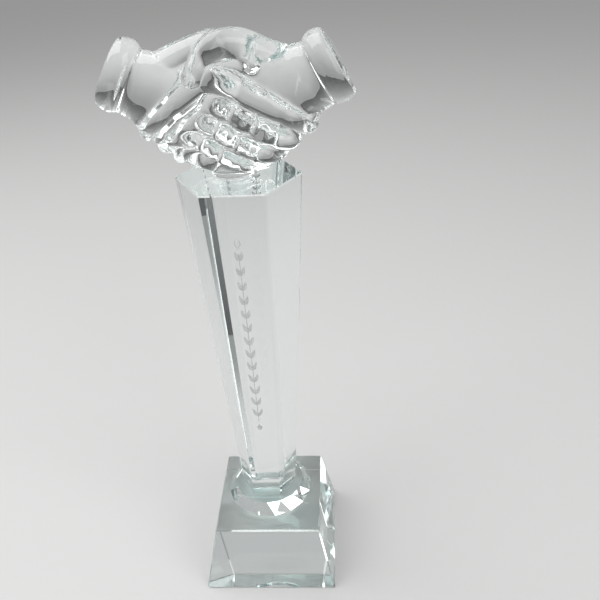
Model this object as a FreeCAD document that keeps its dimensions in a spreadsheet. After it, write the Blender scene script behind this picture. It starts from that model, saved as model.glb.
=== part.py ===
import FreeCAD, Part
import math
import os
import Sketcher

# Crystal handshake award: faceted glass pieces bonded in one vertical stack.
# +Z up, origin at the centre of the base underside, front towards -Y, millimetres.

VALUES = [
    ("base_bottom_side", 70.0), ("base_top_side", 55.0), ("base_height", 37.5),
    ("base_edge_bevel", 0.6), ("bond_film", 0.1),
    ("film_inset", 0.8),
    ("collar_sides", 16), ("collar_foot_radius", 20.3), ("collar_girdle_radius", 22.5),
    ("collar_table_radius", 18.4), ("collar_girdle_height", 5.2), ("collar_height", 11.0),
    ("column_foot_corner_radius", 14.5), ("column_top_corner_radius", 27.0),
    ("column_length", 176.0), ("column_edge_bevel", 0.5),
    ("figure_shift", 2.0), ("figure_height", 57.8),
    ("foot_half_width", 9.0), ("foot_half_depth", 7.0), ("foot_height", 12.0),
    ("foot_flare", 1.5),
    ("finger_count", 4), ("finger_shrink", 0.14), ("finger_curl", 0.6), ("finger_overrun", 0.25),
    ("arm_slope_degrees", 35.0), ("rim_distance", 43.0), ("rim_elevation", 43.3),
    ("rim_radius", 15.0), ("cuff_length", 9.0), ("wrist_radius", 12.5),
    ("wrist_length", 24.0), ("hand_radius", 14.0),
    ("palm_half_width", 25.0), ("palm_half_depth", 14.0), ("palm_elevation", 33.0),
    ("finger_radius", 4.6), ("finger_length", 27.0), ("finger_step", 7.4),
    ("finger_depth", 12.6), ("finger_start", 13.0), ("finger_top", 45.0),
    ("thumb_radius", 5.0), ("thumb_length", 17.0), ("thumb_reach", 11.0),
    ("thumb_elevation", 50.0), ("thumb_depth", 7.5),
]

doc = FreeCAD.newDocument("crystal_award")


def make_sheet():
    sheet = doc.addObject("Spreadsheet::Sheet", "Sizes")
    for row, (name, value) in enumerate(VALUES, start=1):
        sheet.set("A%d" % row, name)
        sheet.set("B%d" % row, str(value))
        sheet.setAlias("B%d" % row, name)
    doc.recompute()
    return sheet


sheet = make_sheet()


def size(name):
    return float(sheet.get(name))


def lay_on_floor_plane(body, sketch):
    plane = [f for f in body.Origin.OriginFeatures if f.Role == "XY_Plane"][0]
    sketch.AttachmentSupport = [(plane, "")]
    sketch.MapMode = "FlatFace"


def polygon_sketch(body, name, sides, radius, turn_degrees, radius_rule):
    """Regular polygon inscribed in a construction circle whose radius follows the sheet."""
    sketch = body.newObject("Sketcher::SketchObject", name)
    lay_on_floor_plane(body, sketch)
    corners = []
    for k in range(sides):
        angle = math.radians(turn_degrees + 360.0 * k / sides)
        corners.append(FreeCAD.Vector(radius * math.cos(angle), radius * math.sin(angle), 0))
    for k in range(sides):
        sketch.addGeometry(Part.LineSegment(corners[k], corners[(k + 1) % sides]), False)
    for k in range(sides):
        joint = Sketcher.Constraint("Coincident", k, 2, (k + 1) % sides, 1)
        sketch.addConstraint(joint)
    middle = FreeCAD.Vector(0, 0, 0)
    circle = sketch.addGeometry(Part.Circle(middle, FreeCAD.Vector(0, 0, 1), radius), True)
    sketch.addConstraint(Sketcher.Constraint("Coincident", circle, 3, -1, 1))
    for k in range(sides):
        sketch.addConstraint(Sketcher.Constraint("PointOnObject", k, 1, circle))
    for k in range(1, sides):
        sketch.addConstraint(Sketcher.Constraint("Equal", 0, k))
    drive = sketch.addConstraint(Sketcher.Constraint("Radius", circle, radius))
    first = corners[0]
    if abs(first.y) < 1e-9:
        sketch.addConstraint(Sketcher.Constraint("PointOnObject", 0, 1, -1))
    else:
        flat = [k for k in range(sides) if abs(corners[k].y - corners[(k + 1) % sides].y) < 1e-9]
        sketch.addConstraint(Sketcher.Constraint("Horizontal", flat[0]))
    sketch.setExpression("Constraints[%d]" % drive, radius_rule)
    doc.recompute()
    return sketch


def face_names(shape, wanted):
    """Names of the faces whose outward normal passes the given test."""
    names = []
    for number, face in enumerate(shape.Faces, start=1):
        if wanted(face.normalAt(0.0, 0.0)):
            names.append("Face%d" % number)
    return names


def tapered_body(label, sides, radius, turn_degrees, rules):
    """Polygon pad with drafted sides and thin bevels on every edge."""
    body = doc.addObject("PartDesign::Body", label)
    body.Label = label
    outline = polygon_sketch(body, label + "_outline", sides, radius, turn_degrees,
                             rules["radius"])
    pad = body.newObject("PartDesign::Pad", label + "_pad")
    pad.Profile = outline
    pad.setExpression("Length", rules["length"])
    doc.recompute()
    taper = body.newObject("PartDesign::Draft", label + "_taper")
    taper.Base = (pad, face_names(pad.Shape, lambda n: abs(n.z) < 0.5))
    taper.NeutralPlane = (pad, face_names(pad.Shape, lambda n: n.z < -0.5))
    taper.setExpression("Angle", rules["taper"])
    doc.recompute()
    bevel = body.newObject("PartDesign::Chamfer", label + "_bevel")
    bevel.Base = (taper, ["Edge%d" % (i + 1) for i in range(len(taper.Shape.Edges))])
    bevel.setExpression("Size", rules["bevel"])
    body.Tip = bevel
    doc.recompute()
    return body


def film_body(label, sides, radius, turn_degrees, radius_rule):
    """Adhesive film: a polygon padded by the film thickness."""
    body = doc.addObject("PartDesign::Body", label)
    body.Label = label
    outline = polygon_sketch(body, label + "_outline", sides, radius, turn_degrees, radius_rule)
    pad = body.newObject("PartDesign::Pad", label + "_pad")
    pad.Profile = outline
    pad.setExpression("Length", "Sizes.bond_film")
    body.Tip = pad
    doc.recompute()
    return body


def set_elevation(obj, rule):
    obj.setExpression("Placement.Base.z", rule)
    doc.recompute()


BASE_TOP = "Sizes.base_height"
COLLAR_FOOT = BASE_TOP + " + Sizes.bond_film"
COLLAR_TOP = COLLAR_FOOT + " + Sizes.collar_height"
COLUMN_FOOT = COLLAR_TOP + " + Sizes.bond_film"
COLUMN_TOP = COLUMN_FOOT + " + Sizes.column_length"
FIGURE_FOOT = COLUMN_TOP + " + Sizes.bond_film"


def base_block():
    """Square block, wider at its foot."""
    return tapered_body("base_block", 4, size("base_bottom_side") * math.sqrt(0.5), 45.0, {
        "radius": "Sizes.base_bottom_side * sqrt(0.5)",
        "length": "Sizes.base_height",
        "taper": "atan((Sizes.base_bottom_side - Sizes.base_top_side) / 2 / Sizes.base_height)",
        "bevel": "Sizes.base_edge_bevel"})


def hexagonal_column():
    """Six-sided column, wider at its top, with one flat side facing the front."""
    body = tapered_body("hexagonal_column", 6, size("column_foot_corner_radius"), 0.0, {
        "radius": "Sizes.column_foot_corner_radius",
        "length": "Sizes.column_length",
        "taper": "-atan((Sizes.column_top_corner_radius - Sizes.column_foot_corner_radius)"
                 " * cos(30 deg) / Sizes.column_length)",
        "bevel": "Sizes.column_edge_bevel"})
    set_elevation(body, COLUMN_FOOT)
    return body


def ring_points(radius, turn_degrees, level):
    sides = int(size("collar_sides"))
    points = []
    for k in range(sides):
        angle = math.radians(turn_degrees + 360.0 * k / sides)
        points.append(FreeCAD.Vector(radius * math.cos(angle), radius * math.sin(angle), level))
    return points


def flat_face(points):
    return Part.Face(Part.makePolygon(points + [points[0]]))


def faceted_collar():
    """Disc cut with triangular crown facets above a girdle and flat facets below it."""
    sides = int(size("collar_sides"))
    half_step = 180.0 / sides
    girdle = ring_points(size("collar_girdle_radius"), half_step, size("collar_girdle_height"))
    foot = ring_points(size("collar_foot_radius"), half_step, 0.0)
    table = ring_points(size("collar_table_radius"), 0.0, size("collar_height"))
    faces = [flat_face(foot), flat_face(table)]
    for k in range(sides):
        after = (k + 1) % sides
        faces.append(flat_face([foot[k], foot[after], girdle[after], girdle[k]]))
        faces.append(flat_face([girdle[k], girdle[after], table[after]]))
        faces.append(flat_face([table[k], girdle[k], table[after]]))
    solid = Part.makeSolid(Part.makeShell(faces))
    if solid.Volume < 0:
        solid.reverse()
    collar = doc.addObject("Part::Feature", "faceted_collar")
    collar.Label = "faceted_collar"
    collar.Shape = solid
    set_elevation(collar, COLLAR_FOOT)
    return collar


def base_bond():
    sides = int(size("collar_sides"))
    radius = size("collar_foot_radius") - size("film_inset")
    body = film_body("base_bond", sides, radius, 180.0 / sides,
                     "Sizes.collar_foot_radius - Sizes.film_inset")
    set_elevation(body, BASE_TOP)
    return body


def collar_bond():
    radius = size("column_foot_corner_radius") - size("film_inset")
    body = film_body("collar_bond", 6, radius, 0.0,
                     "Sizes.column_foot_corner_radius - Sizes.film_inset")
    set_elevation(body, COLLAR_TOP)
    return body


def figure_bond():
    """Oval adhesive film under the foot of the figure."""
    film = doc.addObject("Part::Feature", "figure_bond")
    film.Label = "figure_bond"
    outline = oval_wire(size("foot_half_width") - size("film_inset"),
                        size("foot_half_depth") - size("film_inset"), 0.0)
    film.Shape = Part.Face(outline).extrude(FreeCAD.Vector(0, 0, size("bond_film")))
    film.setExpression("Placement.Base.x", "-Sizes.figure_shift")
    set_elevation(film, COLUMN_TOP)
    return film


def oval_wire(half_width, half_depth, level):
    curve = Part.Ellipse(FreeCAD.Vector(0, 0, level), half_width, half_depth)
    return Part.Wire([curve.toShape()])


def capsule(start, end, radius):
    """Round-ended rod between two points."""
    along = end - start
    rod = Part.makeCylinder(radius, along.Length, start, along)
    return rod.fuse([Part.makeSphere(radius, start), Part.makeSphere(radius, end)])


def arm(side):
    """Flared cuff, wrist and back of one hand, sloping down to the middle of the clasp."""
    slope = math.radians(size("arm_slope_degrees"))
    inward = FreeCAD.Vector(-side * math.cos(slope), 0, -math.sin(slope))
    rim = FreeCAD.Vector(side * size("rim_distance"), 0, size("rim_elevation"))
    cuff = Part.makeCone(size("rim_radius"), size("wrist_radius"), size("cuff_length"),
                         rim, inward)
    wrist_start = rim + inward * size("cuff_length")
    wrist = Part.makeCone(size("wrist_radius"), size("hand_radius"), size("wrist_length"),
                          wrist_start, inward)
    knuckles = Part.makeSphere(size("hand_radius"), wrist_start + inward * size("wrist_length"))
    return cuff.fuse([wrist, knuckles])


def palms():
    """Ellipsoid that stands for the two joined palms."""
    ball = Part.makeSphere(1.0)
    stretch = FreeCAD.Matrix()
    rise = size("figure_height") - size("palm_elevation")
    stretch.scale(FreeCAD.Vector(size("palm_half_width"), size("palm_half_depth"), rise))
    shape = ball.transformGeometry(stretch)
    shape.translate(FreeCAD.Vector(0, 0, size("palm_elevation")))
    return shape


def fingers(side):
    """Four fingers wrapped over the other hand, on the face of the figure given by side."""
    slope = math.radians(size("arm_slope_degrees"))
    run = FreeCAD.Vector(-side * math.cos(slope), 0, -math.sin(slope))
    down = FreeCAD.Vector(side * math.sin(slope), 0, -math.cos(slope))
    depth = side * size("finger_depth")
    back = size("finger_start") - size("finger_length") * size("finger_overrun")
    first = FreeCAD.Vector(-side * back, depth, size("finger_top") - size("finger_radius"))
    inside = FreeCAD.Vector(0, -side * size("finger_radius") * size("finger_curl"), 0)
    rods = []
    for k in range(int(size("finger_count"))):
        start = first + down * (k * size("finger_step"))
        length = size("finger_length") * (1.0 - size("finger_shrink") * k)
        tip = start + run * length
        rods.append(capsule(start, tip + inside, size("finger_radius")))
    return rods


def thumb(side):
    """Thumb laid over the other hand near the top of the clasp."""
    slope = math.radians(size("arm_slope_degrees"))
    tip = FreeCAD.Vector(side * size("thumb_reach"), side * size("thumb_depth"),
                         size("thumb_elevation") - size("thumb_radius"))
    root = tip - FreeCAD.Vector(side * math.cos(slope), 0,
                                math.sin(slope)) * size("thumb_length")
    return capsule(root, tip, size("thumb_radius"))


def figure_foot():
    """Oval stub that carries the clasped hands."""
    low = oval_wire(size("foot_half_width"), size("foot_half_depth"), 0.0)
    high = oval_wire(size("foot_half_width") + size("foot_flare"),
                     size("foot_half_depth") + size("foot_flare"), size("foot_height"))
    return Part.makeLoft([low, high], True, True)


def handshake_figure():
    pieces = [arm(-1), arm(1), palms(), thumb(-1), thumb(1)]
    pieces += fingers(-1) + fingers(1)
    solid = figure_foot().fuse(pieces)
    solid = solid.removeSplitter()
    figure = doc.addObject("Part::Feature", "handshake_figure")
    figure.Label = "handshake_figure"
    figure.Shape = solid
    figure.setExpression("Placement.Base.x", "-Sizes.figure_shift")
    set_elevation(figure, FIGURE_FOOT)
    return figure


def check(objects):
    for obj in objects:
        broken = "Invalid" in obj.State or "Error" in obj.State
        if broken or obj.Shape.isNull() or not obj.Shape.isValid():
            raise RuntimeError("not a good solid: " + obj.Label)
        if len(obj.Shape.Solids) != 1:
            raise RuntimeError("not one solid: " + obj.Label)
        box = obj.Shape.BoundBox
        print(obj.Label, "volume %.1f" % obj.Shape.Volume,
              "x %.2f %.2f y %.2f %.2f z %.2f %.2f" % (box.XMin, box.XMax, box.YMin, box.YMax,
                                                       box.ZMin, box.ZMax))


nodes = [base_block(), base_bond(), faceted_collar(), collar_bond(), hexagonal_column(),
         figure_bond(), handshake_figure()]
doc.recompute()
check(nodes)
for obj in doc.Objects:
    if "Invalid" in obj.State or "Error" in obj.State:
        raise RuntimeError("object in error: " + obj.Label)
os.makedirs("parts", exist_ok=True)
for node in nodes:
    node.Shape.exportStep("parts/" + node.Label + ".step")
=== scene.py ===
"""Looks of a crystal award: clear blocks, adhesive films, a clasped-hands figure and a frosted sprig."""

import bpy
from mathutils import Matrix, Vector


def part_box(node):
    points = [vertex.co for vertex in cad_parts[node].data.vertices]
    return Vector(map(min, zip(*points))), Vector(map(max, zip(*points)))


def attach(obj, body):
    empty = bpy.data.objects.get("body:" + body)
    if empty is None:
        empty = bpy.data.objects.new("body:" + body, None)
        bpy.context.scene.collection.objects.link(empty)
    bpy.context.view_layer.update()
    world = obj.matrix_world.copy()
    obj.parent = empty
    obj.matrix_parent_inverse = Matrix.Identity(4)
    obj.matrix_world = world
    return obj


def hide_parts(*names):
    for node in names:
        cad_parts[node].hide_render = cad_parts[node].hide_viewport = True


bl_info = {
    "name": "Crystal award",
    "version": (1, 0, 0),
    "blender": (4, 5, 0),
    "location": "View3D > Sidebar > Award",
    "description": "Builds the looks of a crystal award around its packed frame",
    "category": "Object",
}

import math

import bpy
import numpy as np
from bpy.props import FloatProperty, FloatVectorProperty, IntProperty, PointerProperty
from mathutils import Matrix, Vector

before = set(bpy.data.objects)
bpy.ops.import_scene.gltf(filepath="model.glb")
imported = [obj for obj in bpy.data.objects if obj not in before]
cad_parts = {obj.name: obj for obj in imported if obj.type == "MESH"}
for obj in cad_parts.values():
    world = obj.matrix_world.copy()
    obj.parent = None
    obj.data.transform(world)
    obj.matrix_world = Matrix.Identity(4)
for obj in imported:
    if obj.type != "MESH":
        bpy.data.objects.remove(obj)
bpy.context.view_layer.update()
MM = 0.001


# ---------------------------------------------------------------- settings

class CrystalSettings(bpy.types.PropertyGroup):
    """Optical crystal of the blocks and the figure."""
    ior: FloatProperty(name="IOR", description="Refractive index of the crystal", default=1.517)
    face_tint: FloatVectorProperty(name="Face tint", description="Colour that light takes at each face",
                                   subtype="COLOR", default=(0.978, 0.992, 0.989))
    depth_colour: FloatVectorProperty(name="Depth colour", description="Colour that thick crystal takes on",
                                      subtype="COLOR", default=(0.58, 0.88, 0.85))
    depth_strength: FloatProperty(name="Depth strength", description="How soon thick crystal takes it on",
                                  default=1.5)
    figure_strength: FloatProperty(name="Figure depth strength",
                                   description="The same in the moulded figure", default=1.0)


class OrnamentSettings(bpy.types.PropertyGroup):
    """Frosted sprig at the front of the column."""
    low: FloatProperty(name="Lower end", description="Height of the sprig's lower end",
                       default=0.103, unit="LENGTH")
    high: FloatProperty(name="Upper end", description="Height of the sprig's upper end",
                        default=0.199, unit="LENGTH")
    pairs: IntProperty(name="Leaf pairs", description="Pairs of leaves on the stem", default=13)
    frost: FloatVectorProperty(name="Frost", description="Colour of the frosted marks",
                               subtype="COLOR", default=(0.97, 0.98, 0.98))


class StageSettings(bpy.types.PropertyGroup):
    """Floor, lights and camera."""
    floor_colour: FloatVectorProperty(name="Floor colour", description="Colour of the floor",
                                      subtype="COLOR", default=(0.66, 0.66, 0.655))
    key_power: FloatProperty(name="Key power", description="Power of the overhead light",
                             default=11.0, unit="POWER")
    fill_power: FloatProperty(name="Fill power", description="Power of the side light",
                              default=6.5, unit="POWER")
    room_level: FloatProperty(name="Room level", description="Brightness of the room", default=0.5)


# ---------------------------------------------------------------- node helpers

def new_material(name):
    mat = bpy.data.materials.new(name)
    mat.use_nodes = True
    mat.node_tree.nodes.clear()
    return mat, mat.node_tree


def node(tree, kind, **values):
    made = tree.nodes.new(kind)
    for key, value in values.items():
        setattr(made, key, value)
    return made


def maths(tree, operation, *operands):
    """Output of a Math node whose operands are numbers or other outputs."""
    made = node(tree, "ShaderNodeMath", operation=operation)
    for socket, operand in zip(made.inputs, operands):
        if isinstance(operand, (int, float)):
            socket.default_value = operand
        else:
            tree.links.new(operand, socket)
    return made.outputs[0]


def noise(tree, where, scale, detail):
    made = node(tree, "ShaderNodeTexNoise")
    made.inputs["Scale"].default_value = scale
    made.inputs["Detail"].default_value = detail
    tree.links.new(where, made.inputs["Vector"])
    return made.outputs["Fac"]


def spread(tree, value, low, high, to_low, to_high):
    """Output that moves from to_low to to_high while the value moves from low to high."""
    made = node(tree, "ShaderNodeMapRange")
    for socket, number in zip(made.inputs[1:5], (low, high, to_low, to_high)):
        socket.default_value = number
    tree.links.new(value, made.inputs[0])
    return made.outputs[0]


def bump(tree, height, strength, distance):
    made = node(tree, "ShaderNodeBump")
    made.inputs["Strength"].default_value = strength
    made.inputs["Distance"].default_value = distance
    tree.links.new(height, made.inputs["Height"])
    return made.outputs["Normal"]


def bond_outline(tree, x, y, bond):
    """Output below 1 inside a bond's outline: the larger of |y| and |x| cos 30 + |y| sin 30, over the half
    depth, for the six-sided one, and ((x - middle) / half width)^2 + (y / half depth)^2 for the oval one and
    for the sixteen-sided one, which it nearly follows."""
    low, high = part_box(bond)
    half_wide, half_deep = (high[0] - low[0]) / 2, (high[1] - low[1]) / 2
    if bond == "collar_bond":
        wide, deep = maths(tree, "ABSOLUTE", x), maths(tree, "ABSOLUTE", y)
        slanting = maths(tree, "ADD", maths(tree, "MULTIPLY", wide, math.cos(math.pi / 6)),
                         maths(tree, "MULTIPLY", deep, math.sin(math.pi / 6)))
        return maths(tree, "DIVIDE", maths(tree, "MAXIMUM", deep, slanting), half_deep)
    wide = maths(tree, "DIVIDE", maths(tree, "SUBTRACT", x, (low[0] + high[0]) / 2), half_wide)
    deep = maths(tree, "DIVIDE", y, half_deep)
    return maths(tree, "ADD", maths(tree, "MULTIPLY", wide, wide), maths(tree, "MULTIPLY", deep, deep))


def unbonded(tree, where, bonds, skin):
    """0 on the faces that a bond covers, where light crosses unbent from crystal to crystal, and 1 elsewhere.
    A face is covered if it lies past the bond's near side, give or take the skin, and inside its outline."""
    split = node(tree, "ShaderNodeSeparateXYZ")
    tree.links.new(where, split.inputs[0])
    x, y, z = split.outputs
    free = 1.0
    for bond, is_above in bonds:
        low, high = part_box(bond)
        near = (maths(tree, "GREATER_THAN", z, low[2] - skin) if is_above
                else maths(tree, "LESS_THAN", z, high[2] + skin))
        inside = maths(tree, "LESS_THAN", bond_outline(tree, x, y, bond), 1.0)
        free = maths(tree, "SUBTRACT", free, maths(tree, "MULTIPLY", near, inside))
    return free


SMUDGE_FROM, SMUDGE_TO = 0.50, 0.78
SMUDGE_ROUGHNESS = 0.06
SMUDGE_DETAIL, WAVE_DETAIL = 4.0, 1.0
WAVE_DEPTH = 0.4 * MM


def crystal_material(name, settings, depth_strength, bonds, skin,
                     smudge_scale, wave_scale, wave_strength):
    """Clear crystal that takes on its colour with depth: faint smudges in its polish, a slow wave in its
    surface, and no surface at all where it is bonded."""
    mat, tree = new_material(name)
    out = node(tree, "ShaderNodeOutputMaterial")
    shader = node(tree, "ShaderNodeBsdfPrincipled")
    shader.inputs["Base Color"].default_value = (*settings.face_tint, 1.0)
    shader.inputs["IOR"].default_value = settings.ior
    shader.inputs["Transmission Weight"].default_value = 1.0
    depth = node(tree, "ShaderNodeVolumeAbsorption")
    depth.inputs["Color"].default_value = (*settings.depth_colour, 1.0)
    depth.inputs["Density"].default_value = depth_strength
    where = node(tree, "ShaderNodeTexCoord").outputs["Object"]
    smudge = noise(tree, where, smudge_scale, SMUDGE_DETAIL)
    tree.links.new(spread(tree, smudge, SMUDGE_FROM, SMUDGE_TO, 0.0, SMUDGE_ROUGHNESS),
                   shader.inputs["Roughness"])
    wave = noise(tree, where, wave_scale, WAVE_DETAIL)
    tree.links.new(bump(tree, wave, wave_strength, WAVE_DEPTH), shader.inputs["Normal"])
    tree.links.new(unbonded(tree, where, bonds, skin), shader.inputs["Alpha"])
    tree.links.new(shader.outputs[0], out.inputs["Surface"])
    tree.links.new(depth.outputs[0], out.inputs["Volume"])
    return mat


def give(name, mat):
    """Puts a material on a CAD node in place of its own."""
    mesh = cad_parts[name].data
    mesh.materials.clear()
    mesh.materials.append(mat)


# ---------------------------------------------------------------- surfaces

def smooth_path(knots, count):
    """Catmull-Rom curve through the knots, spaced by its length as 0.5 - 0.5 cos(a) for even a, so closer
    towards both ends. Columns past the third, such as radii, follow the same blend."""
    knots = np.array(knots, float)
    padded = np.vstack([2 * knots[0] - knots[1], knots, 2 * knots[-1] - knots[-2]])
    t = np.linspace(0, len(knots) - 1 - 1e-9, 8 * count)
    i = t.astype(int)
    f = (t - i)[:, None]
    a, b, c, d = padded[i], padded[i + 1], padded[i + 2], padded[i + 3]
    curve = 0.5 * (2 * b + (c - a) * f + (2 * a - 5 * b + 4 * c - d) * f ** 2
                   + (3 * b - a - 3 * c + d) * f ** 3)
    steps = np.linalg.norm(np.diff(curve[:, :3], axis=0), axis=1)
    run = np.concatenate([[0], np.cumsum(steps)])
    even = run[-1] * (0.5 - 0.5 * np.cos(np.linspace(0, np.pi, count)))
    return np.stack([np.interp(even, run, column) for column in curve.T], axis=1), even


def swept_tube(knots, reference, cap=1.0, creases=(), count=72, sides=40, fullness=1.0):
    """Oval tube: centre(s) + c(a) * first radius(s) * side(s) + s(a) * second radius(s) * out(s), where out
    is the reference direction squared up to the path and side is across both. c and s are cos(a) and sin(a)
    with their sizes raised to the power fullness, so below 1 the oval has flatter faces. Both radii close
    over each end along a quarter ellipse as long as cap times the smaller one, and dip at each crease."""
    path, run = smooth_path(knots, count)
    centre, radii = path[:, :3], path[:, 3:5]
    along = np.gradient(centre, axis=0)
    along /= np.linalg.norm(along, axis=1)[:, None]
    out = np.array(reference, float) - (along @ np.array(reference, float))[:, None] * along
    out /= np.linalg.norm(out, axis=1)[:, None]
    side = np.cross(along, out)
    shrink = np.ones(count)
    for share, depth, width in creases:
        shrink -= depth * np.exp(-((run / run[-1] - share) / width) ** 2)
    end = np.minimum(run, run[-1] - run)
    reach = cap * radii.min(axis=1)
    closing = np.sqrt(np.clip(1 - (1 - np.clip(end / reach, 0, 1)) ** 2, 0, 1))
    radii = radii * (shrink * closing)[:, None]
    a = np.linspace(0, 2 * np.pi, sides, endpoint=False)
    c, s = (np.sign(wave) * np.abs(wave) ** fullness for wave in (np.cos(a), np.sin(a)))
    points = (centre[:, None] + c[None, :, None] * (radii[:, :1] * side)[:, None]
              + s[None, :, None] * (radii[:, 1:] * out)[:, None])
    return closed_grid(points[1:-1], centre[0], centre[-1])


def closed_grid(rings, first, last):
    """Points of the rings in order and the faces between them, closed by a fan at each end."""
    count, sides = rings.shape[:2]
    i, j = np.meshgrid(np.arange(count - 1), np.arange(sides), indexing="ij")
    k = (j + 1) % sides
    quads = np.stack([i * sides + j, (i + 1) * sides + j, (i + 1) * sides + k, i * sides + k], -1)
    points = np.vstack([rings.reshape(-1, 3), first, last])
    j = np.arange(sides)
    k = (j + 1) % sides
    start, end = count * sides, count * sides + 1
    top = (count - 1) * sides
    fans = np.vstack([np.stack([0 * j + start, j, k], -1), np.stack([0 * j + end, top + k, top + j], -1)])
    return points, quads.reshape(-1, 4).tolist() + fans.tolist()


def joined(parts):
    """All parts' points and faces as one list each."""
    points, faces, shift = [], [], 0
    for own_points, own_faces in parts:
        points.append(own_points)
        faces += [[v + shift for v in face] for face in own_faces]
        shift += len(own_points)
    return np.vstack(points), faces


def half_turned(parts):
    """Parts turned half a turn about the vertical axis."""
    return [(points * np.array([-1, -1, 1]), faces) for points, faces in parts]


# The figure's own frame is in millimetres: its foot's centre is the origin, and the near side is -Y.
ARM_START_X, ARM_START_Z = -45.2, 43.9
DOWN_ARM = math.radians(29)
FIRST_THUMB_LIFT, SECOND_THUMB_LIFT = -0.9, 0.4
HANDS_TOP = 57.3
SKIN_VOXEL = 0.45
SKIN_EASING, SKIN_EASING_PASSES = 0.5, 20
SIDEWAYS = (1.0, 0.0, 0.0)
ACROSS_FINGERS = (0.568, 0.0, 0.823)
DEPTHWISE = (0.0, 1.0, 0.0)
UPWARD = (0.0, 0.0, 1.0)


def along_arm(run, lift, depth):
    """Point at a distance down the arm's line, lifted across it, at a depth: the start plus the run times
    (cos, -sin) plus the lift times (sin, cos) of the arm's slope."""
    return (ARM_START_X + run * math.cos(DOWN_ARM) + lift * math.sin(DOWN_ARM), depth,
            ARM_START_Z - run * math.sin(DOWN_ARM) + lift * math.cos(DOWN_ARM))


def arm():
    """Cuff band, wrist and back of the hand as one oval tube, closed flat at the cuff."""
    rows = [(0.0, 12.6, 9.2, 0.2, 0.0), (1.2, 13.9, 10.5, 0.2, 0.0), (4.6, 14.8, 11.4, 0.2, 0.0),
            (7.2, 14.6, 11.2, 0.2, 0.0), (9.4, 13.4, 9.6, 0.2, 0.0), (12.5, 13.6, 9.3, 0.2, -0.2),
            (16.5, 14.3, 9.5, 0.6, -0.6), (22.0, 15.3, 9.4, 0.4, -1.4), (30.0, 17.0, 9.0, 1.4, -2.4),
            (38.0, 18.0, 8.4, 4.4, -3.0), (45.0, 17.4, 7.8, 6.2, -3.2), (51.0, 15.0, 6.5, 7.0, -2.8)]
    knots = [(*along_arm(run, lift, depth), tall, thick) for run, tall, thick, lift, depth in rows]
    return swept_tube(knots, DEPTHWISE, cap=0.10, count=140, sides=96, fullness=0.9)


def heel():
    """Edge of the palm that closes the underside between the wrist and the foot."""
    knots = [(-36.5, 0, 26.5, 3.0, 6.5), (-31.5, 0, 22.5, 4.2, 7.0), (-26.0, 0, 18.0, 4.8, 7.0),
             (-19.5, 0, 13.2, 5.2, 7.0), (-12.0, 0, 9.0, 5.6, 7.0), (-2.0, 0, 7.2, 6.0, 7.0)]
    return swept_tube(knots, DEPTHWISE)


def mitt():
    """Solid under the four fingers, so that they stand out of it as a relief."""
    knots = [(-14, -3.5, 37, 15, 4.5), (-5, -5.2, 30, 16.5, 5.0), (4, -5.8, 24, 16.0, 5.0),
             (12, -5.2, 19.8, 14.2, 5.0), (19, -2.8, 17.4, 11.0, 5.0), (26, 0.5, 16.6, 7.0, 5.0)]
    return swept_tube(knots, DEPTHWISE, cap=0.7)


def fingers():
    """Index, middle, ring and little finger laid over the other hand, tips curling under it."""
    index = [(-8, -6.5, 41.5, 5.0, 5.2), (3, -9.6, 38.8, 4.9, 5.0), (12, -10.4, 33.8, 4.6, 4.7),
             (20, -10.2, 28.8, 4.3, 4.3), (25.5, -8.8, 25.0, 4.0, 4.0), (30.2, -5.8, 22.0, 3.8, 3.7),
             (32.4, -1.6, 20.2, 3.6, 3.5), (32.2, 2.6, 19.6, 3.4, 3.4), (30.8, 5.4, 20.0, 3.0, 3.0)]
    middle = [(-7, -5.5, 34.5, 4.4, 4.6), (0.3, -9.3, 30.2, 4.6, 4.5), (6.9, -10.8, 26.2, 4.6, 4.4),
              (14.1, -10.6, 21.2, 4.4, 4.1), (20.4, -8.2, 16.8, 4.0, 3.8), (24.6, -3.8, 14.6, 3.6, 3.5),
              (25.8, 1.5, 14.0, 3.3, 3.2), (24.6, 5.2, 14.4, 3.0, 3.0)]
    ring = [(-13, -5.5, 28.2, 4.1, 4.3), (-6.2, -9.2, 24.0, 4.3, 4.2), (-0.1, -10.6, 20.0, 4.3, 4.0),
            (6.9, -10.2, 15.0, 4.0, 3.8), (13.3, -8.0, 11.4, 3.7, 3.6), (18.2, -4.0, 9.6, 3.4, 3.3),
            (20.4, 0.8, 9.2, 3.1, 3.0), (19.8, 4.6, 9.4, 2.8, 2.8)]
    little = [(-19, -5.0, 22.4, 3.6, 3.8), (-12.9, -8.3, 18.4, 3.8, 3.6), (-7, -9.6, 14.6, 3.7, 3.4),
              (-1, -9.2, 9.8, 3.4, 3.2), (5.0, -7.4, 6.8, 3.1, 3.0), (10.6, -4.4, 5.6, 2.9, 2.8),
              (14.2, -0.6, 5.4, 2.7, 2.7), (14.4, 3.0, 5.6, 2.6, 2.6)]
    straight = ((0.30, 0.10, 0.035), (0.62, 0.10, 0.03))
    bent = ((0.27, 0.20, 0.032), (0.45, 0.26, 0.032), (0.64, 0.22, 0.032), (0.84, 0.10, 0.03))
    return [swept_tube(knots, ACROSS_FINGERS, creases=bends, fullness=0.85)
            for knots, bends in ((index, straight), (middle, bent), (ring, bent), (little, bent))]


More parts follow.
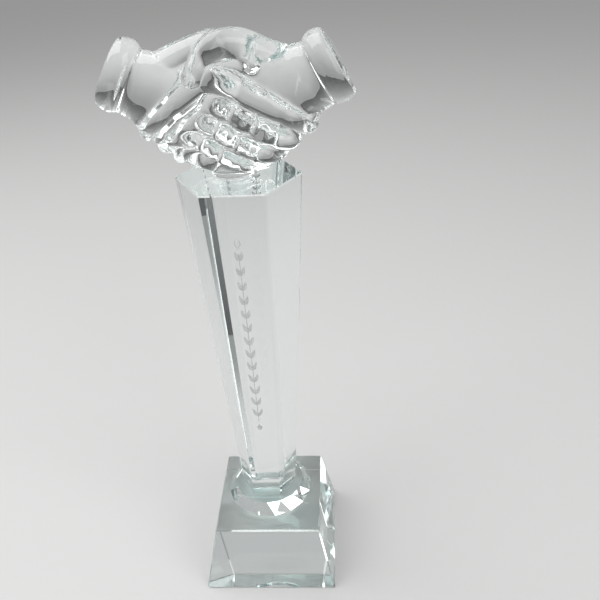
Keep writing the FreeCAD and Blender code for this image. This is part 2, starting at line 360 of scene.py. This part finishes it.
def thumb(lift):
    """Thumb, with its nail, that rises from the wrist, crosses the top and hooks down on the far side."""
    knots = [(-33, -0.5, 38.0, 9.5, 8.0), (-24, -1.0, 42.0, 8.0, 7.6), (-16, -0.6, 46.2, 6.9, 6.9),
             (-8, 1.0, 50.4 + lift, 6.1, 6.4), (-1, 3.6, 51.8 + lift, 5.6, 5.9),
             (5, 7.4, 49.0 + lift, 4.7, 5.0), (8.8, 9.8, 44.2, 4.0, 4.4), (11.6, 11.2, 38.6, 3.6, 4.0)]
    nail = [(9.3, 13.9, 43.2, 1.5, 0.8), (10.3, 14.7, 41.2, 2.1, 0.9), (11.3, 14.9, 38.6, 1.9, 0.8)]
    return [swept_tube(knots, DEPTHWISE, creases=((0.82, 0.10, 0.04),)), swept_tube(nail, DEPTHWISE, cap=0.8)]


def foot_and_core():
    """Oval stub under the hands and the solid middle between the palms."""
    stub = [(0, 0, 0.0, 7.0, 9.0), (0, 0, 2.0, 7.0, 9.0), (0, 0, 6.0, 7.6, 9.6), (0, 0, 12.0, 8.0, 11.0),
            (0, 0, 20.0, 7.0, 12.0)]
    core = [(-20, 0, 26, 7, 9), (0, 0, 24, 8, 13), (20, 0, 26, 7, 9)]
    web = [(-24, 0, 37, 6, 8), (-12, 0, 40, 6.5, 11), (0, 0, 42, 6.5, 12), (12, 0, 40, 6.5, 11),
           (24, 0, 37, 6, 8)]
    return [swept_tube(stub, SIDEWAYS, cap=0.05, count=60, sides=64),
            swept_tube(core, UPWARD), swept_tube(web, UPWARD)]


def figure_parts():
    """Two like hands, the second turned half a turn, whose thumbs differ in height at the top."""
    one_hand = [arm(), heel(), mitt()] + fingers()
    return (one_hand + thumb(FIRST_THUMB_LIFT) + half_turned(one_hand + thumb(SECOND_THUMB_LIFT))
            + foot_and_core())


def melted(context, points, faces):
    """One smooth skin around closed forms that overlap."""
    mesh = bpy.data.meshes.new("rough")
    mesh.from_pydata(points.tolist(), [], faces)
    rough = bpy.data.objects.new("rough", mesh)
    context.scene.collection.objects.link(rough)
    skin = rough.modifiers.new("skin", "REMESH")
    skin.mode = "VOXEL"
    skin.voxel_size = SKIN_VOXEL * MM
    skin.use_smooth_shade = True
    ease = rough.modifiers.new("ease", "SMOOTH")
    ease.factor = SKIN_EASING
    ease.iterations = SKIN_EASING_PASSES
    skinned = rough.evaluated_get(context.evaluated_depsgraph_get())
    melted_mesh = bpy.data.meshes.new_from_object(skinned)
    bpy.data.objects.remove(rough)
    return melted_mesh


# ---------------------------------------------------------------- operators

BLOCK_SKIN, FIGURE_SKIN = 0.02 * MM, 0.5 * MM
BLOCK_WAVE_STRENGTH, FIGURE_WAVE_STRENGTH = 0.02, 0.015
BLOCK_WAVES_PER_SMUDGE = 2.5
FIGURE_SMUDGE_SCALE, FIGURE_WAVE_SCALE = 60.0, 80.0
ADHESIVE_COLOUR = (0.90, 0.93, 0.93, 1.0)
ADHESIVE_ROUGHNESS = 0.35
BUBBLE_SCALE, BUBBLE_DETAIL = 900.0, 3.0
BUBBLE_FROM, BUBBLE_TO, BUBBLE_COVER = 0.60, 0.80, 0.35
# Each block with its bonds, which are above it where True, and the scale of its smudges.
BLOCKS = (("base_block", (("base_bond", True),), 45.0),
          ("faceted_collar", (("base_bond", False), ("collar_bond", True)), 80.0),
          ("hexagonal_column", (("collar_bond", False), ("figure_bond", True)), 30.0))


class AWARD_OT_crystal_blocks(bpy.types.Operator):
    """Gives the base, the collar and the column their polished crystal."""
    bl_idname = "award.crystal_blocks"
    bl_label = "Crystal blocks"

    def execute(self, context):
        settings = context.scene.award_crystal
        for name, bonds, smudge_scale in BLOCKS:
            give(name, crystal_material(name + "_crystal", settings, settings.depth_strength, bonds,
                                        skin=BLOCK_SKIN, smudge_scale=smudge_scale,
                                        wave_scale=smudge_scale * BLOCK_WAVES_PER_SMUDGE,
                                        wave_strength=BLOCK_WAVE_STRENGTH))
        return {"FINISHED"}


class AWARD_OT_adhesive(bpy.types.Operator):
    """Gives the three bonds their clear adhesive with fine bubbles."""
    bl_idname = "award.adhesive"
    bl_label = "Adhesive films"

    def execute(self, context):
        mat, tree = new_material("clear_adhesive")
        out = node(tree, "ShaderNodeOutputMaterial")
        shader = node(tree, "ShaderNodeBsdfPrincipled")
        shader.inputs["Base Color"].default_value = ADHESIVE_COLOUR
        shader.inputs["Roughness"].default_value = ADHESIVE_ROUGHNESS
        where = node(tree, "ShaderNodeTexCoord").outputs["Object"]
        bubbles = noise(tree, where, BUBBLE_SCALE, BUBBLE_DETAIL)
        tree.links.new(spread(tree, bubbles, BUBBLE_FROM, BUBBLE_TO, 0.0, BUBBLE_COVER),
                       shader.inputs["Alpha"])
        tree.links.new(shader.outputs[0], out.inputs["Surface"])
        for name in ("base_bond", "collar_bond", "figure_bond"):
            give(name, mat)
        return {"FINISHED"}


class AWARD_OT_figure(bpy.types.Operator):
    """Makes the clasped hands from swept tubes, melted into one skin, in place of the plain figure."""
    bl_idname = "award.figure"
    bl_label = "Clasped hands"

    def execute(self, context):
        low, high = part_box("handshake_figure")
        origin = np.array([(low[0] + high[0]) / 2, 0.0, low[2]])
        points, faces = joined(figure_parts())
        points[:, 2] = np.clip(points[:, 2], 0.0, HANDS_TOP)
        mesh = melted(context, points * MM + origin, faces)
        mesh.name = "clasped_hands"
        hands = bpy.data.objects.new("clasped_hands", mesh)
        context.scene.collection.objects.link(hands)
        settings = context.scene.award_crystal
        mat = crystal_material("moulded_crystal", settings, settings.figure_strength,
                               (("figure_bond", False),), skin=FIGURE_SKIN,
                               smudge_scale=FIGURE_SMUDGE_SCALE, wave_scale=FIGURE_WAVE_SCALE,
                               wave_strength=FIGURE_WAVE_STRENGTH)
        mesh.materials.clear()
        mesh.materials.append(mat)
        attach(hands, "root")
        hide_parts("handshake_figure")
        return {"FINISHED"}


MARK_HALF_THICKNESS = 0.06 * MM
MARK_OUT = MARK_HALF_THICKNESS + 0.01 * MM
STEM_HALF_WIDTHS = (0.22 * MM, 0.26 * MM, 0.18 * MM)
LEAF_HALF_WIDTHS = (0.2 * MM, 0.85 * MM, 0.75 * MM, 0.1 * MM)
STEM_WIDEST_AT = 0.4
LEAF_STATIONS = (0.06, 0.35, 0.7, 1.0)
LEAF_CURVE = 1.4
LEAF_REACH, LEAF_RISE = 2.4 * MM, 5.2 * MM
REACH_LOSS, RISE_LOSS = 0.35, 0.15
LOZENGE_HALF_WIDTHS = (0.05 * MM, 0.9 * MM, 1.4 * MM, 0.9 * MM, 0.05 * MM)
UPPER_LOZENGE_GAP, UPPER_LOZENGE_HALF_LENGTH = 4.5 * MM, 2.8 * MM
LOWER_LOZENGE_GAP, LOWER_LOZENGE_HALF_LENGTH = 4.0 * MM, 2.2 * MM
FROM_FRONT = (0.0, -1.0, 0.0)
GRAIN_SCALE, GRAIN_DETAIL = 4000.0, 2.0
GRAIN_FROM, GRAIN_TO = 0.3, 0.7
FROST_ROUGHNESS, FROST_COVER = (0.45, 0.8), (0.3, 0.6)
GRAIN_STRENGTH, GRAIN_DEPTH = 0.5, 0.1 * MM


def face_point(across, height, out):
    """Point in metres close to the column's front face, at a distance across it and a height. Its depth moves
    evenly from the collar bond's at the column's foot to the column's own at its top, plus the distance out.
    The bond is smaller than the foot, so the points lie up to half a millimetre inside the crystal low down
    and come out to the face near the top."""
    low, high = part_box("hexagonal_column")
    share = (height - low[2]) / (high[2] - low[2])
    foot_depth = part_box("collar_bond")[1][1]
    top_depth = -low[1]
    slope = (top_depth - foot_depth) / (high[2] - low[2])
    return (across, -(foot_depth + (top_depth - foot_depth) * share) - out, height - out * slope)


def sprig_mark(path, half_widths):
    """Thin flat swept tube along a path of places across the front face and heights."""
    knots = [(*face_point(across, height, MARK_OUT), wide, MARK_HALF_THICKNESS)
             for (across, height), wide in zip(path, half_widths)]
    return swept_tube(knots, FROM_FRONT, cap=0.5, count=26, sides=10)


def leaf(way, root, share):
    """Leaf that leaves the stem at a height: across = reach * t and up = rise * t^curve, for t up to 1, with
    a reach and a rise that fall off with its share of the way up."""
    reach = LEAF_REACH * (1.0 - REACH_LOSS * share)
    rise = LEAF_RISE * (1.0 - RISE_LOSS * share)
    return sprig_mark([(way * reach * t, root + rise * t ** LEAF_CURVE) for t in LEAF_STATIONS],
                      LEAF_HALF_WIDTHS)


def lozenge(middle, half_length):
    """Mark that is widest in its middle and pointed at both ends."""
    path = [(0, middle + half_length * share) for share in (-1.0, -0.5, 0.0, 0.5, 1.0)]
    return sprig_mark(path, LOZENGE_HALF_WIDTHS)


def sprig_parts(low, high, pairs):
    """Stem, pairs of leaves up it and a lozenge past each end."""
    widest = low * (1 - STEM_WIDEST_AT) + high * STEM_WIDEST_AT
    parts = [sprig_mark([(0, low), (0, widest), (0, high)], STEM_HALF_WIDTHS)]
    for i in range(pairs):
        share = (i + 0.5) / pairs
        parts += [leaf(way, low + (high - low) * share, share) for way in (-1, 1)]
    parts.append(lozenge(high + UPPER_LOZENGE_GAP, UPPER_LOZENGE_HALF_LENGTH))
    parts.append(lozenge(low - LOWER_LOZENGE_GAP, LOWER_LOZENGE_HALF_LENGTH))
    return parts


def frosted_material(colour):
    """Ground crystal surface: a fine grain that makes it rough, uneven and half see-through."""
    mat, tree = new_material("frosted_crystal")
    out = node(tree, "ShaderNodeOutputMaterial")
    shader = node(tree, "ShaderNodeBsdfPrincipled")
    shader.inputs["Base Color"].default_value = (*colour, 1.0)
    where = node(tree, "ShaderNodeTexCoord").outputs["Object"]
    grain = noise(tree, where, GRAIN_SCALE, GRAIN_DETAIL)
    tree.links.new(spread(tree, grain, GRAIN_FROM, GRAIN_TO, *FROST_ROUGHNESS), shader.inputs["Roughness"])
    tree.links.new(spread(tree, grain, GRAIN_FROM, GRAIN_TO, *FROST_COVER), shader.inputs["Alpha"])
    tree.links.new(bump(tree, grain, GRAIN_STRENGTH, GRAIN_DEPTH), shader.inputs["Normal"])
    tree.links.new(shader.outputs[0], out.inputs["Surface"])
    return mat


class AWARD_OT_ornament(bpy.types.Operator):
    """Sets a frosted sprig of leaves at the front face of the column, mostly just inside the crystal."""
    bl_idname = "award.ornament"
    bl_label = "Frosted sprig"

    def execute(self, context):
        settings = context.scene.award_ornament
        points, faces = joined(sprig_parts(settings.low, settings.high, settings.pairs))
        mesh = bpy.data.meshes.new("frosted_sprig")
        mesh.from_pydata(points.tolist(), [], faces)
        mesh.materials.append(frosted_material(settings.frost))
        sprig = bpy.data.objects.new("frosted_sprig", mesh)
        context.scene.collection.objects.link(sprig)
        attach(sprig, "root")
        return {"FINISHED"}


FLOOR_HALF_SIDE = 6.0
FLOOR_DROP = 0.3 * MM
FLOOR_ROUGHNESS = 0.7
KEY_SIZE, KEY_PLACE, KEY_AIM = (1.1, 1.1), (-0.5, -0.05, 1.15), (0, 0, 0.1)
FILL_SIZE, FILL_PLACE, FILL_AIM = (0.9, 1.1), (0.85, -0.75, 0.72), (0, 0, 0.14)
ROOM_LOW, ROOM_HIGH = (0.18, 0.18, 0.183, 1.0), (1.0, 1.0, 1.0, 1.0)
ROOM_HIGH_FROM = 0.65
SENSOR_WIDTH = 36.0
LENS_TO_SENSOR = 1.0957
NEAREST_SEEN = 0.01
CAMERA_PLACE = (0.04029, -0.25907, 0.32063)
CAMERA_PITCH, CAMERA_YAW, CAMERA_ROLL = 31.294, -3.923, -3.349
LIGHT_BOUNCES = 32


def make_floor(scene, colour):
    """Plain floor just under the award."""
    half = FLOOR_HALF_SIDE
    mesh = bpy.data.meshes.new("floor")
    mesh.from_pydata([(-half, -half, 0), (half, -half, 0), (half, half, 0), (-half, half, 0)],
                     [], [(0, 1, 2, 3)])
    floor = bpy.data.objects.new("floor", mesh)
    floor.location.z = -FLOOR_DROP
    scene.collection.objects.link(floor)
    mat, tree = new_material("studio_floor")
    out = node(tree, "ShaderNodeOutputMaterial")
    shader = node(tree, "ShaderNodeBsdfPrincipled")
    shader.inputs["Base Color"].default_value = (*colour, 1.0)
    shader.inputs["Roughness"].default_value = FLOOR_ROUGHNESS
    tree.links.new(shader.outputs[0], out.inputs["Surface"])
    mesh.materials.append(mat)


def area_light(scene, name, power, size, place, aim):
    data = bpy.data.lights.new(name, "AREA")
    data.energy = power
    data.shape = "RECTANGLE"
    data.size, data.size_y = size
    lamp = bpy.data.objects.new(name, data)
    lamp.location = place
    lamp.rotation_euler = (Vector(aim) - Vector(place)).to_track_quat("-Z", "Y").to_euler()
    scene.collection.objects.link(lamp)


def light_room(scene, level):
    """Room that is darker at the horizon and evenly bright overhead."""
    world = bpy.data.worlds.new("room")
    world.use_nodes = True
    scene.world = world
    tree = world.node_tree
    tree.nodes.clear()
    out = node(tree, "ShaderNodeOutputWorld")
    back = node(tree, "ShaderNodeBackground")
    tree.links.new(back.outputs[0], out.inputs["Surface"])
    coord = node(tree, "ShaderNodeTexCoord")
    split = node(tree, "ShaderNodeSeparateXYZ")
    tree.links.new(coord.outputs["Generated"], split.inputs[0])
    ramp = node(tree, "ShaderNodeValToRGB")
    tree.links.new(split.outputs["Z"], ramp.inputs[0])
    low, high = ramp.color_ramp.elements
    low.position, low.color = 0.0, ROOM_LOW
    high.position, high.color = ROOM_HIGH_FROM, ROOM_HIGH
    tree.links.new(ramp.outputs[0], back.inputs["Color"])
    back.inputs["Strength"].default_value = level


def place_camera(scene):
    """Camera that looks down at the award from its front, turned a little to the left and tilted."""
    data = bpy.data.cameras.new("camera")
    data.sensor_width = SENSOR_WIDTH
    data.lens = SENSOR_WIDTH * LENS_TO_SENSOR
    data.clip_start = NEAREST_SEEN
    pitch, yaw, roll = (math.radians(turn) for turn in (CAMERA_PITCH, CAMERA_YAW, CAMERA_ROLL))
    ahead = Vector((math.sin(yaw) * math.cos(pitch), math.cos(yaw) * math.cos(pitch), -math.sin(pitch)))
    right = Vector((math.cos(yaw), -math.sin(yaw), 0))
    up = right.cross(ahead)
    rolled_right = right * math.cos(roll) + up * math.sin(roll)
    rolled_up = up * math.cos(roll) - right * math.sin(roll)
    turn = Matrix((rolled_right, rolled_up, -ahead)).transposed()
    camera = bpy.data.objects.new("camera", data)
    camera.matrix_world = Matrix.Translation(Vector(CAMERA_PLACE)) @ turn.to_4x4()
    scene.collection.objects.link(camera)
    scene.camera = camera


class AWARD_OT_stage(bpy.types.Operator):
    """Adds the floor, the studio lights and the camera."""
    bl_idname = "award.stage"
    bl_label = "Stage"

    def execute(self, context):
        settings = context.scene.award_stage
        scene = context.scene
        make_floor(scene, settings.floor_colour)
        area_light(scene, "key", settings.key_power, KEY_SIZE, KEY_PLACE, KEY_AIM)
        area_light(scene, "fill", settings.fill_power, FILL_SIZE, FILL_PLACE, FILL_AIM)
        light_room(scene, settings.room_level)
        place_camera(scene)
        scene.view_settings.view_transform = "Standard"
        # Light that crosses several crystals, or is reflected inside one, needs many bounces.
        scene.cycles.max_bounces = LIGHT_BOUNCES
        scene.cycles.glossy_bounces = LIGHT_BOUNCES
        scene.cycles.transmission_bounces = LIGHT_BOUNCES
        scene.cycles.transparent_max_bounces = LIGHT_BOUNCES
        return {"FINISHED"}


class AWARD_PT_panel(bpy.types.Panel):
    """Lists the steps of the award."""
    bl_idname = "AWARD_PT_panel"
    bl_label = "Crystal award"
    bl_space_type = "VIEW_3D"
    bl_region_type = "UI"
    bl_category = "Award"

    def draw(self, context):
        for step in STEPS:
            self.layout.operator(step.bl_idname)


STEPS = (AWARD_OT_crystal_blocks, AWARD_OT_adhesive, AWARD_OT_figure, AWARD_OT_ornament, AWARD_OT_stage)
SETTINGS = {"award_crystal": CrystalSettings, "award_ornament": OrnamentSettings,
            "award_stage": StageSettings}


def register():
    for kind in (*SETTINGS.values(), *STEPS, AWARD_PT_panel):
        bpy.utils.register_class(kind)
    for name, kind in SETTINGS.items():
        setattr(bpy.types.Scene, name, PointerProperty(type=kind))


def unregister():
    for name in SETTINGS:
        delattr(bpy.types.Scene, name)
    for kind in reversed((*SETTINGS.values(), *STEPS, AWARD_PT_panel)):
        bpy.utils.unregister_class(kind)


def main():
    register()
    for step in STEPS:
        group, name = step.bl_idname.split(".")
        getattr(getattr(bpy.ops, group), name)()


if __name__ == "__main__":
    main()
